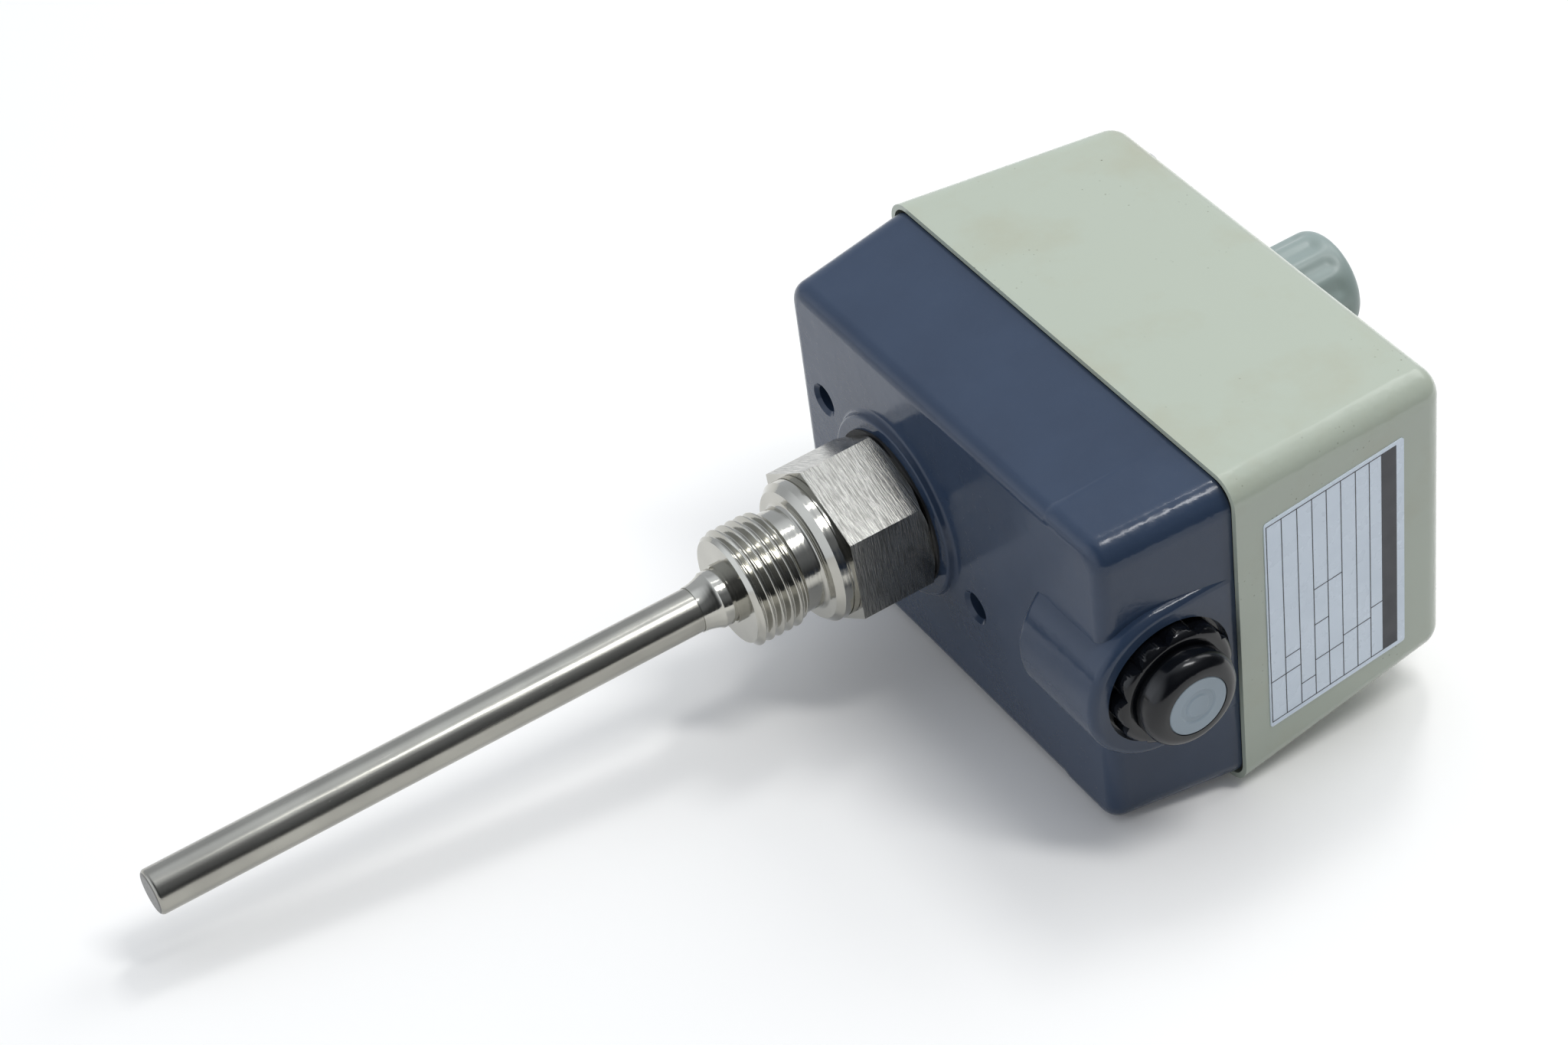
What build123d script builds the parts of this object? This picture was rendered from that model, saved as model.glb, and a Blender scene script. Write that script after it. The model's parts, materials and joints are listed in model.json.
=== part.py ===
from build123d import *
from math import asin, cos, degrees, radians, sin, sqrt, tan
import os

os.makedirs("parts", exist_ok=True)

# Industrial stem thermostat, in millimetres.
# X runs along the probe from its tip (-X) to the knob (+X). The cable gland faces -Y and +Z is up.
# The origin is on the probe axis, half way along the thread of the process connection.

# Fits
running_gap = 0.05
loose_gap = 0.1
screw_gap = 0.06

# Probe rod
rod_diameter = 8.0
rod_wall = 1.0
rod_end_wall = 1.8
rod_tip_rounding = 0.8
immersion_length = 122.0
rod_socket_depth = 8.0
bulb_length = 75.0
bulb_nose = 2.0
capillary_diameter = 2.0
sleeve_diameter = 10.2
sleeve_length = 3.4
sleeve_taper = 3.4
sleeve_ring_width = 1.1
sleeve_ring_diameter = 10.8

# Process connection, G 1/2 stud end with a hexagon
thread_diameter = 20.955
thread_run = 10.0
thread_chamfer = 1.0
undercut_diameter = 18.6
undercut_length = 4.0
neck_cove = 0.8
collar_face_diameter = 23.6
collar_slope = 1.2
collar_diameter = 25.8
collar_thickness = 3.5
collar_groove_width = 0.25
collar_groove_depth = 0.35
collar_last_ring = 0.55
hexagon_flats = 27.0
hexagon_length = 15.1
hexagon_chamfer = 1.15
hexagon_turn = 6.25
shank_diameter = 16.0
shank_length = 12.4
washer_thickness = 0.4
washer_diameter = 29.0
nut_flats = 24.0
nut_height = 5.0

# Base housing, a drafted tub. Length is along Y and width along Z.
base_depth = 24.1
base_back_length = 89.4
base_back_width = 61.0
base_rim_length = 94.6
base_rim_width = 65.4
base_side_rounding = 4.8
base_back_rounding = 3.0
base_wall = 3.0
base_floor = 3.5
cavity_rounding = 2.5
probe_offset = 15.0
fitting_boss_diameter = 34.0
fitting_boss_height = 1.5
fitting_boss_cove = 0.9
chamber_edge_from_probe = 42.0
chamber_back_width = 62.0
lip_height = 3.5
lip_setback = 1.0
gasket_height = 2.0
gasket_thickness = 0.95
mount_hole_diameter = 5.0
mount_hole_depth = 8.0
mount_hole_mouth = 6.4
mount_circle_diameter = 46.7
mount_circle_turn = 21.0
mount_boss_diameter = 11.0
mount_boss_height = 6.0

# Cable gland, on an axis along Y
gland_height = 10.6
gland_boss_radius = 15.3
gland_boss_proud = 0.1
gland_boss_rounding = 1.6
gland_bulge_end = 41.4
gland_boss_inner_end = 49.0
gland_seat_diameter = 24.0
gland_seat_depth = 2.0
gland_thread_diameter = 18.5
gland_thread_depth = 10.2
gland_ledge_bore = 12.0
gland_flange_diameter = 23.2
gland_flange_thickness = 0.6
gland_crown_diameter = 22.6
gland_crown_height = 4.7
gland_crown_rounding = 1.7
gland_lobe_count = 11
gland_lobe_diameter = 7.4
gland_lobe_turn = 16.0
gland_groove_diameter = 16.8
gland_collar_start = 5.1
gland_collar_diameter = 17.7
gland_collar_end = 9.7
gland_dome_height = 2.6
gland_shank_length = 5.4
gland_bore = 9.6
gland_washer_thickness = 0.8
gland_seal_length = 4.0
gland_disc_diameter = 11.3
gland_disc_thickness = 1.4

# Sheet-steel cover
cover_depth = 45.2
cover_overhang = 1.2
cover_sheet = 1.0
cover_draft = 3.5
cover_side_rounding = 5.0
cover_front_rounding = 4.5
cover_spindle_hole = 12.0
cover_screw_hole = 4.2
label_height = 30.1
label_width = 46.0
label_thickness = 0.2
label_from_rim = 5.5

# Cover pillars and their screws
pillar_diameter = 7.0
pillar_places = [(22.0, 22.0), (-52.0, -22.0)]
pillar_boss_height = 3.0
pillar_stud_length = 4.6
screw_diameter = 3.0
cover_screw_length = 9.0
screw_head_diameter = 7.0
screw_head_height = 2.2
slot_width = 1.0
slot_depth = 1.0

# Diaphragm, push pin and lever
capsule_diameter = 28.0
capsule_height = 4.5
capsule_stub_diameter = 6.0
capsule_stub_height = 1.0
capsule_disc_rise = 0.3
capsule_disc_edge = 2.0
capsule_rim_start = 2.0
capsule_rim_height = 1.0
capsule_lid_rise = 0.6
capsule_crown_rise = 0.5
push_pin_diameter = 4.0
lever_height = 21.5
lever_thickness = 2.0
lever_width = 9.0
lever_pivot_y = 15.0
lever_reach = 19.0
lever_eye_diameter = 6.0
lever_pin_diameter = 3.0
lever_angle_limit = 2.0

# Mechanism frame, a folded steel bracket
frame_height = 17.0
frame_sheet = 1.5
frame_plate_from = -27.0
frame_plate_to = 21.0
frame_plate_width = 33.0
web_spacing = 12.0
web_from = -26.0
web_to = 19.5
web_height = 22.0
tower_half_width = 7.0
bridge_height = 29.5
frame_post_diameter = 6.6
frame_post_places = [(17.0, 13.0), (17.0, -13.0), (-23.5, 13.0), (-23.5, -13.0)]
frame_screw_head_diameter = 5.6
frame_screw_head_height = 1.8
frame_screw_length = 7.0
post_hole_depth = 9.0

# Setpoint spindle, spring and knob
spindle_diameter = 6.0
spindle_thread_diameter = 5.0
spindle_thread_end = 30.5
spindle_flange_diameter = 9.0
spindle_flange_thickness = 1.6
spindle_flat_depth = 0.6
spindle_flat_length = 16.0
stop_collar_diameter = 10.0
stop_collar_thickness = 2.5
stop_arm_reach = 8.6
stop_arm_width = 4.4
stop_pin_diameter = 2.0
stop_pin_circle = 7.4
dial_range = 300.0
bush_diameter = 10.0
bush_flange_diameter = 12.0
bush_flange_thickness = 1.5
bush_height = 6.5
clip_diameter = 9.5
clip_thickness = 0.8
clip_groove_diameter = 5.0
seat_height = 33.5
seat_thickness = 2.2
seat_length = 11.0
seat_hub_diameter = 7.6
seat_hub_height = 2.8
spring_diameter = 9.0
spring_wire = 1.0
spring_turns = 4.5
knob_diameter = 19.2
knob_length = 23.0
knob_gap = 0.5
knob_rounding = 2.0
knob_flute_count = 12
knob_flute_radius = 4.5
knob_flute_depth = 0.5
knob_smooth_band = 2.4
knob_skirt_wall = 1.8
knob_hub_diameter = 11.0
knob_hollow_depth = 17.0

# Snap switch
switch_from = -25.0
switch_to = -8.0
switch_height = 27.5
switch_size = 13.0
switch_button_y = -16.0
switch_button_diameter = 3.0
switch_button_length = 4.9
switch_button_pocket = 2.6
switch_screw_places = [(31.5, -21.5), (37.0, -11.5)]
switch_screw_diameter = 2.4
switch_screw_head_diameter = 4.4
switch_screw_head_height = 1.6
tab_length = 3.0
tab_width = 2.4
tab_thickness = 0.8
tab_heights = [30.0, 34.0, 38.0]
tab_sides = [-3.6, 0.0, 3.6]

# Terminal block and leads
block_from = -43.5
block_to = -32.5
block_end_wall = 2.7
block_height = 13.0
block_pad_height = 3.0
block_pad_diameter = 7.0
block_screw_from_pole = 6.3
block_screw_length = 8.0
block_hole_depth = 5.0
block_foot_thickness = 4.0
terminal_pitch = 8.5
terminal_pocket_width = 6.4
terminal_pocket_length = 9.0
terminal_pocket_depth = 9.0
terminal_clamp_height = 6.0
terminal_wire_bore = 2.2
terminal_screw_head = 4.0
terminal_screw_head_height = 1.6
terminal_screw_side = 2.4
lead_diameter = 1.8
lead_drop_y = -30.3
lead_end_y = -36.5
lead_bend = 1.6

# Earth connection
earth_place = (-53.0, 22.0)
earth_pad_diameter = 8.0
earth_pad_height = 3.0
earth_clamp_size = 7.0
earth_clamp_thickness = 1.2
earth_screw_length = 5.0

# Stations along X worked out from the sizes above
thread_end_x = -thread_run / 2
sealing_face_x = thread_run / 2 + undercut_length
hexagon_x = sealing_face_x + collar_thickness
hexagon_back_x = hexagon_x + hexagon_length
boss_face_x = hexagon_back_x + washer_thickness
back_x = boss_face_x + fitting_boss_height
floor_x = back_x + base_floor
rim_x = back_x + base_depth
lip_x = rim_x + lip_height
front_x = rim_x + cover_depth
rod_tip_x = sealing_face_x - immersion_length
rod_seat_x = thread_end_x + rod_socket_depth
shank_end_x = hexagon_back_x + shank_length
capsule_top_x = shank_end_x + capsule_height
frame_x = back_x + frame_height
lever_x = back_x + lever_height
lever_top_x = lever_x + lever_thickness
web_top_x = frame_x + frame_sheet + web_height
bridge_x = frame_x + bridge_height
bridge_top_x = bridge_x + frame_sheet
seat_x = back_x + seat_height
switch_x = back_x + switch_height
knob_x = front_x + knob_gap
centre_y = -probe_offset
rim_end_y = centre_y - base_rim_length / 2
gland_face_y = rim_end_y - gland_boss_proud
gland_x = back_x + gland_height
gland_seat_y = gland_face_y + gland_seat_depth
block_screw_side = terminal_pitch + block_screw_from_pole
block_width = 2 * (block_screw_side + block_end_wall)


def rod_x(diameter, start, end, y=0.0, z=0.0):
    sketch = Plane.YZ.offset(start) * Pos(y, z) * Circle(diameter / 2)
    return extrude(sketch, end - start)


def rod_z(diameter, start, end, x, y):
    ends = (Align.CENTER, Align.CENTER, Align.MIN)
    return Pos(x, y, start) * Cylinder(diameter / 2, end - start, align=ends)


def rod_y(diameter, start, end, x, z):
    sketch = Plane(origin=(x, start, z), x_dir=(1, 0, 0), z_dir=(0, 1, 0)) * Circle(diameter / 2)
    return extrude(sketch, end - start)


def block(x_from, x_to, y_from, y_to, z_from, z_to):
    size = (x_to - x_from, y_to - y_from, z_to - z_from)
    middle = ((x_from + x_to) / 2, (y_from + y_to) / 2, (z_from + z_to) / 2)
    return Pos(*middle) * Box(*size)


def turned(points):
    # points are (x, radius) round the X axis, starting and ending on it or closing on themselves
    outline = Polyline([(x, radius) for x, radius in points], close=True)
    return revolve(Plane.XY * make_face(outline), Axis.X)


def turned_on_gland(points):
    # points are (distance out of the gland's seat, radius)
    outline = Polyline([(radius, -out) for out, radius in points], close=True)
    face = Plane(origin=(gland_x, gland_seat_y, 0)) * make_face(outline)
    return revolve(face, Axis((gland_x, 0, 0), (0, 1, 0)))


def hexagon(flats, start, end, turn=0.0):
    reach = flats / sqrt(3)
    corners = []
    for number in range(6):
        angle = radians(turn + 60 * number)
        corners.append((reach * sin(angle), reach * cos(angle)))
    face = Plane.YZ.offset(start) * make_face(Polyline(corners, close=True))
    return extrude(face, end - start)


def rounded_rectangle(x, y_centre, length, width, rounding):
    return Plane.YZ.offset(x) * Pos(y_centre, 0) * RectangleRounded(length, width, rounding)


def slotted_screw(diameter, head_diameter, head_height, length, seat):
    # stands on X = seat with its shank towards -X
    shank = rod_x(diameter, seat - length, seat)
    head = rod_x(head_diameter, seat, seat + head_height)
    head = fillet(head.edges().group_by(Axis.X)[-1], head_height * 0.4)
    slot = block(
        seat + head_height - slot_depth, seat + head_height + 1,
        -head_diameter, head_diameter, -slot_width / 2, slot_width / 2,
    )
    return shank + head - slot


def base_half_length(x):
    share = (x - back_x) / base_depth
    return (base_back_length + (base_rim_length - base_back_length) * share) / 2


def base_half_width(x):
    share = (x - back_x) / base_depth
    return (base_back_width + (base_rim_width - base_back_width) * share) / 2


def cover_half_length(x):
    return base_rim_length / 2 + cover_overhang - cover_draft * (x - rim_x) / cover_depth


def cover_half_width(x):
    return base_rim_width / 2 + cover_overhang - cover_draft * (x - rim_x) / cover_depth


def immersion_tube():
    radius = rod_diameter / 2
    bore = radius - rod_wall
    tube = rod_x(rod_diameter, rod_tip_x, rod_seat_x)
    tube = fillet(tube.edges().group_by(Axis.X)[0], rod_tip_rounding)
    return tube - rod_x(2 * bore, rod_tip_x + rod_end_wall, rod_seat_x + 1)


def sensing_bulb():
    radius = rod_diameter / 2 - rod_wall - loose_gap
    start = rod_tip_x + rod_end_wall
    end = start + bulb_length
    neck = capillary_diameter / 2
    points = [
        (start, 0), (start, radius - bulb_nose / 2), (start + bulb_nose / 2, radius),
        (end - bulb_nose, radius), (end, neck), (end, 0),
    ]
    return turned(points)


def capillary_tube():
    start = rod_tip_x + rod_end_wall + bulb_length
    return rod_x(capillary_diameter, start, shank_end_x)


def neck_sleeve():
    start = thread_end_x - sleeve_length - sleeve_taper
    shoulder = thread_end_x - sleeve_length
    ring = thread_end_x - sleeve_ring_width
    bore = rod_diameter / 2 + screw_gap / 2
    outer = sleeve_diameter / 2
    # the taper flares out in a hollow curve up to the shoulder
    points = [(start, bore)]
    for step in range(6):
        share = step / 6
        points.append((start + sleeve_taper * share, bore + 0.12 + (outer - bore - 0.3) * share ** 1.8))
    points += [
        (shoulder, outer - 0.15), (shoulder + 0.15, outer), (ring - 0.5, outer),
        (ring - 0.5, outer - 0.3), (ring, outer - 0.3), (ring, sleeve_ring_diameter / 2),
        (thread_end_x, sleeve_ring_diameter / 2), (thread_end_x, bore),
    ]
    return turned(points)


def process_fitting():
    crest = thread_diameter / 2
    thread_back = thread_end_x + thread_run
    points = [
        (thread_end_x, 0), (thread_end_x, crest - thread_chamfer), (thread_end_x + thread_chamfer, crest),
        (thread_back - thread_chamfer, crest), (thread_back, crest - thread_chamfer),
        (thread_back, undercut_diameter / 2),
    ]
    for step in range(5):
        angle = radians(22.5 * step)
        along = neck_cove * (1 - sin(angle))
        points.append((sealing_face_x - along, undercut_diameter / 2 + neck_cove * (1 - cos(angle))))
    collar = collar_diameter / 2
    groove_end = hexagon_x - collar_last_ring
    groove_start = groove_end - collar_groove_width
    points += [
        (sealing_face_x, collar_face_diameter / 2), (sealing_face_x + collar_slope, collar),
        (groove_start, collar), (groove_start, collar - collar_groove_depth),
        (groove_end, collar - collar_groove_depth), (groove_end, collar), (hexagon_x, collar),
        (hexagon_x, shank_diameter / 2), (shank_end_x, shank_diameter / 2), (shank_end_x, 0),
    ]
    corner = hexagon_flats / sqrt(3)
    chamfer_radius = corner - hexagon_chamfer / tan(radians(30))
    cone = turned([
        (hexagon_x, 0), (hexagon_x, corner + 1), (hexagon_back_x - hexagon_chamfer, corner + 1),
        (hexagon_back_x - hexagon_chamfer, corner), (hexagon_back_x, chamfer_radius), (hexagon_back_x, 0),
    ])
    head = hexagon(hexagon_flats, hexagon_x, hexagon_back_x, hexagon_turn) & cone
    fitting = turned(points) + head
    fitting -= rod_x(rod_diameter + screw_gap, thread_end_x - 1, rod_seat_x)
    return fitting - rod_x(capillary_diameter + 2 * screw_gap, rod_seat_x - 1, shank_end_x + 1)


def fitting_washer():
    ring = rod_x(washer_diameter, hexagon_back_x, boss_face_x)
    return ring - rod_x(shank_diameter + 2 * loose_gap, hexagon_back_x - 1, boss_face_x + 1)


def fitting_nut():
    nut = hexagon(nut_flats, floor_x, floor_x + nut_height)
    return nut - rod_x(shank_diameter + screw_gap, floor_x - 1, floor_x + nut_height + 1)


def diaphragm_capsule():
    stub = capsule_stub_diameter / 2
    edge = capsule_diameter / 2
    disc = shank_end_x + capsule_stub_height
    rim = shank_end_x + capsule_rim_start
    lid = rim + capsule_rim_height
    crown = lid + capsule_lid_rise + capsule_crown_rise
    points = [
        (shank_end_x, 0), (shank_end_x, stub), (disc, stub),
        (disc + capsule_disc_rise, edge - capsule_disc_edge), (rim, edge), (lid, edge),
        (lid + capsule_lid_rise, edge - capsule_disc_edge), (crown, stub + 1),
        (capsule_top_x, stub), (capsule_top_x, 0),
    ]
    return turned(points)


def gland_outline(grow, x_end):
    # round towards the back of the base, with straight sides up to x_end
    radius = gland_boss_radius + grow
    plane = Plane(origin=(gland_x, 0, 0), x_dir=(1, 0, 0), z_dir=(0, 1, 0))
    run = x_end - gland_x
    half = Circle(radius) - Pos(radius, 0) * Rectangle(2 * radius, 2 * radius + 2)
    return plane * (half + Pos(run / 2, 0) * Rectangle(run, 2 * radius))


def mount_holes():
    places = []
    for number in range(2):
        angle = radians(mount_circle_turn + 180 * number)
        reach = mount_circle_diameter / 2
        places.append((reach * cos(angle), reach * sin(angle)))
    return places


def base_outside():
    main = loft([
        rounded_rectangle(back_x, centre_y, base_back_length, base_back_width, base_side_rounding),
        rounded_rectangle(rim_x, centre_y, base_rim_length, base_rim_width, base_side_rounding),
    ])
    main = fillet(main.edges().group_by(Axis.X)[0], base_back_rounding)
    back_end = centre_y - base_back_length / 2
    back_run = -chamber_edge_from_probe - back_end
    rim_run = -chamber_edge_from_probe - rim_end_y
    chamber = loft([
        rounded_rectangle(back_x, back_end + back_run / 2, back_run, chamber_back_width, base_side_rounding),
        rounded_rectangle(rim_x, rim_end_y + rim_run / 2, rim_run, base_rim_width, base_side_rounding),
    ])
    chamber = fillet(chamber.edges().group_by(Axis.X)[0], base_back_rounding)
    boss = Pos(0, gland_face_y, 0) * extrude(gland_outline(0, rim_x), -gland_bulge_end - gland_face_y)
    boss = fillet(boss.edges().group_by(Axis.Y)[0].filter_by(GeomType.CIRCLE), gland_boss_rounding)
    boss = fillet(boss.edges().group_by(Axis.Y)[-1].filter_by(GeomType.CIRCLE), gland_boss_rounding)
    return main + chamber + boss


def fitting_boss():
    # a low round boss with a rounded edge, whose foot runs out into the back face in a cove
    radius = fitting_boss_diameter / 2
    cove = fitting_boss_cove
    rounding = fitting_boss_height - cove
    points = [(back_x + 1, 0), (boss_face_x, 0)]
    for step in range(5):
        angle = radians(22.5 * step)
        points.append((boss_face_x + rounding * (1 - cos(angle)), radius - rounding * (1 - sin(angle))))
    for step in range(1, 5):
        angle = radians(22.5 * step)
        points.append((back_x - cove * (1 - sin(angle)), radius + cove * (1 - cos(angle))))
    points += [(back_x + 1, radius + cove)]
    return turned(points)


def base_cavity():
    rim_length = base_rim_length - 2 * base_wall
    rim_width = base_rim_width - 2 * base_wall
    floor_length = 2 * (base_half_length(floor_x) - base_wall)
    floor_width = 2 * (base_half_width(floor_x) - base_wall)
    rounding = base_side_rounding - base_wall + cavity_rounding / 2
    tub = loft([
        rounded_rectangle(floor_x, centre_y, floor_length, floor_width, rounding),
        rounded_rectangle(rim_x, centre_y, rim_length, rim_width, rounding),
    ])
    tub = fillet(tub.edges().group_by(Axis.X)[0], cavity_rounding)
    tub += extrude(rounded_rectangle(rim_x, centre_y, rim_length, rim_width, rounding), lip_height + 1)
    keep = extrude(gland_outline(0, rim_x), -gland_boss_inner_end - gland_face_y)
    return tub - Pos(0, gland_face_y, 0) * keep


def base_housing():
    lip_length = base_rim_length - 2 * lip_setback
    lip_width = base_rim_width - 2 * lip_setback
    lip = extrude(
        rounded_rectangle(rim_x, centre_y, lip_length, lip_width, base_side_rounding - lip_setback),
        lip_height,
    )
    base = base_outside() + lip + fitting_boss() - base_cavity()
    for y, z in frame_post_places:
        base += rod_x(frame_post_diameter, floor_x - 1, frame_x, y, z)
    for y, z in mount_holes():
        base += rod_x(mount_boss_diameter, floor_x - 1, floor_x + mount_boss_height, y, z)
    for y, z in pillar_places:
        base += rod_x(pillar_diameter + 1, floor_x - 1, floor_x + pillar_boss_height, y, z)
    for side in (1, -1):
        pad_y = (block_from + block_to) / 2
        pad_top = floor_x + block_pad_height
        base += rod_x(block_pad_diameter, floor_x - 1, pad_top, pad_y, side * block_screw_side)
    base += rod_x(earth_pad_diameter, floor_x - 1, floor_x + earth_pad_height, *earth_place)
    return base - base_drillings()


def base_drillings():
    cuts = [rod_x(shank_diameter + 2 * loose_gap, boss_face_x - 1, floor_x + 1)]
    hole = screw_diameter + 2 * screw_gap
    for y, z in mount_holes():
        cuts.append(rod_x(mount_hole_diameter, back_x - 1, back_x + mount_hole_depth, y, z))
        sink = (mount_hole_mouth - mount_hole_diameter) / 2
        cone = turned([
            (back_x - 0.01, 0), (back_x - 0.01, mount_hole_mouth / 2),
            (back_x + sink, mount_hole_diameter / 2), (back_x + sink, 0),
        ])
        cuts.append(Pos(0, y, z) * cone)
    for y, z in frame_post_places:
        cuts.append(rod_x(hole, frame_x - post_hole_depth, frame_x + 1, y, z))
    for y, z in pillar_places:
        top = floor_x + pillar_boss_height
        cuts.append(rod_x(hole, top - pillar_stud_length - loose_gap, top + 1, y, z))
    for side in (1, -1):
        pad_y = (block_from + block_to) / 2
        top = floor_x + block_pad_height
        cuts.append(rod_x(hole, top - block_hole_depth, top + 1, pad_y, side * block_screw_side))
    top = floor_x + earth_pad_height
    cuts.append(rod_x(hole, top - earth_screw_length, top + 1, *earth_place))
    cuts.append(rod_y(gland_seat_diameter, gland_face_y - 1, gland_seat_y, gland_x, 0))
    thread_floor = gland_seat_y + gland_thread_depth
    cuts.append(rod_y(gland_thread_diameter, gland_seat_y - 1, thread_floor, gland_x, 0))
    cuts.append(rod_y(gland_ledge_bore, gland_seat_y - 1, -gland_boss_inner_end + 1, gland_x, 0))
    return cuts


def cover_gasket():
    lip_length = base_rim_length - 2 * lip_setback
    lip_width = base_rim_width - 2 * lip_setback
    rounding = base_side_rounding - lip_setback
    grow = gasket_thickness
    outer = rounded_rectangle(rim_x, centre_y, lip_length + 2 * grow, lip_width + 2 * grow, rounding + grow)
    inner = rounded_rectangle(rim_x, centre_y, lip_length, lip_width, rounding)
    return extrude(outer - inner, gasket_height)


def cover_solid(inset, start, end, front_rounding):
    side = cover_side_rounding - inset
    sections = []
    for x in (start, end):
        length = 2 * (cover_half_length(x) - inset)
        width = 2 * (cover_half_width(x) - inset)
        sections.append(rounded_rectangle(x, centre_y, length, width, side))
    solid = loft(sections)
    return fillet(solid.edges().group_by(Axis.X)[-1], front_rounding)


def cover():
    outer = cover_solid(0, rim_x, front_x, cover_front_rounding)
    inner = cover_solid(cover_sheet, rim_x - 1, front_x - cover_sheet, cover_front_rounding - cover_sheet)
    shell = outer - inner
    shell -= rod_x(cover_spindle_hole, front_x - 3, front_x + 1)
    for y, z in pillar_places:
        shell -= rod_x(cover_screw_hole, front_x - 3, front_x + 1, y, z)
    return shell


def rating_label():
    # lies on the drafted end wall of the cover
    lean = degrees(asin(cover_draft / sqrt(cover_draft ** 2 + cover_depth ** 2)))
    middle_x = rim_x + label_from_rim + label_height / 2
    middle_y = centre_y - cover_half_length(middle_x)
    plate = Box(label_height, label_thickness, label_width, align=(Align.CENTER, Align.MAX, Align.CENTER))
    plate = fillet(plate.edges().filter_by(Axis.Y), 0.6)
    return Pos(middle_x, middle_y, 0) * Rot(0, 0, lean) * plate


def cover_pillars():
    pillars = []
    for y, z in pillar_places:
        bottom = floor_x + pillar_boss_height
        top = front_x - cover_sheet
        pillar = rod_x(pillar_diameter, bottom, top, y, z)
        pillar += rod_x(screw_diameter, bottom - pillar_stud_length, bottom, y, z)
        pillar -= rod_x(screw_diameter + 2 * screw_gap, top - cover_screw_length, top + 1, y, z)
        pillars.append(pillar)
    return Compound(children=pillars)


def cover_screws():
    screw = slotted_screw(
        screw_diameter, screw_head_diameter, screw_head_height, cover_screw_length, front_x
    )
    return Compound(children=[Pos(0, y, z) * screw for y, z in pillar_places])


def mechanism_frame():
    plate = block(
        frame_x, frame_x + frame_sheet, frame_plate_from, frame_plate_to,
        -frame_plate_width / 2, frame_plate_width / 2,
    )
    frame = fillet(plate.edges().filter_by(Axis.X), 2)
    for side in (1, -1):
        inner = side * web_spacing / 2
        outer = side * (web_spacing / 2 + frame_sheet)
        low, high = min(inner, outer), max(inner, outer)
        frame += block(frame_x, web_top_x, web_from, web_to, low, high)
        frame += block(web_top_x, bridge_top_x, -tower_half_width, tower_half_width, low, high)
    reach = web_spacing / 2 + frame_sheet
    frame += block(bridge_x, bridge_top_x, -tower_half_width, tower_half_width, -reach, reach)
    frame -= rod_x(push_pin_diameter + 2 * running_gap, frame_x - 1, frame_x + frame_sheet + 1)
    frame -= rod_x(bush_diameter + screw_gap, bridge_x - 1, bridge_top_x + 1)
    stop_y, stop_z = stop_pin_place()
    frame -= rod_x(stop_pin_diameter + screw_gap, bridge_x - 1, bridge_top_x + 1, stop_y, stop_z)
    for y, z in frame_post_places:
        frame -= rod_x(screw_diameter + 2 * screw_gap, frame_x - 1, frame_x + frame_sheet + 1, y, z)
    pin_x = lever_x + lever_thickness / 2
    frame -= rod_z(lever_pin_diameter + screw_gap, -reach - 1, reach + 1, pin_x, lever_pivot_y)
    for height, y in switch_screw_places:
        frame -= rod_z(switch_screw_diameter + screw_gap, -reach - 1, reach + 1, back_x + height, y)
    return frame


def frame_screws():
    seat = frame_x + frame_sheet
    screw = slotted_screw(
        screw_diameter, frame_screw_head_diameter, frame_screw_head_height, frame_screw_length, seat
    )
    return Compound(children=[Pos(0, y, z) * screw for y, z in frame_post_places])


def push_pin():
    pin = rod_x(push_pin_diameter, capsule_top_x + running_gap, lever_x - loose_gap)
    return chamfer(pin.edges().group_by(Axis.X)[-1], 0.4)


def switch_lever():
    middle = lever_x + lever_thickness / 2
    bar = block(lever_x, lever_top_x, -lever_reach, lever_pivot_y, -lever_width / 2, lever_width / 2)
    bar = fillet(bar.edges().filter_by(Axis.X).group_by(Axis.Y)[0], 2)
    eye_half = web_spacing / 2 - loose_gap
    lever = bar + rod_z(lever_eye_diameter, -eye_half, eye_half, middle, lever_pivot_y)
    bore = lever_pin_diameter + 2 * running_gap
    return lever - rod_z(bore, -eye_half - 1, eye_half + 1, middle, lever_pivot_y)


def lever_pin():
    half = web_spacing / 2 + frame_sheet + 0.5
    pin = rod_z(lever_pin_diameter, -half, half, lever_x + lever_thickness / 2, lever_pivot_y)
    return chamfer(pin.edges().filter_by(GeomType.CIRCLE), 0.3)


def setpoint_spring():
    start = lever_top_x + loose_gap + spring_wire / 2
    end = seat_x - loose_gap - spring_wire / 2
    radius = (spring_diameter - spring_wire) / 2
    pitch = (end - start) / spring_turns
    path = Pos(start, 0, 0) * Rot(0, 90, 0) * Helix(pitch, end - start, radius)
    section = Plane(origin=path @ 0, z_dir=path % 0) * Circle(spring_wire / 2)
    return sweep(section, path)


def spring_seat():
    half = web_spacing / 2 - loose_gap
    seat = block(seat_x, seat_x + seat_thickness, -seat_length / 2, seat_length / 2, -half, half)
    seat += rod_x(seat_hub_diameter, seat_x + seat_thickness, seat_x + seat_thickness + seat_hub_height)
    return seat - rod_x(
        spindle_thread_diameter + 2 * running_gap, seat_x - 1, seat_x + seat_thickness + seat_hub_height + 1
    )


def stop_pin_place():
    angle = radians(-(360 - dial_range) / 2)
    return stop_pin_circle * sin(angle), stop_pin_circle * cos(angle)


def stop_pin():
    y, z = stop_pin_place()
    pin = rod_x(stop_pin_diameter, bridge_x, stop_collar_x() + stop_collar_thickness, y, z)
    return chamfer(pin.edges().group_by(Axis.X)[-1], 0.2)


def stop_collar_x():
    return clip_start_x() + clip_thickness + loose_gap


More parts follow.
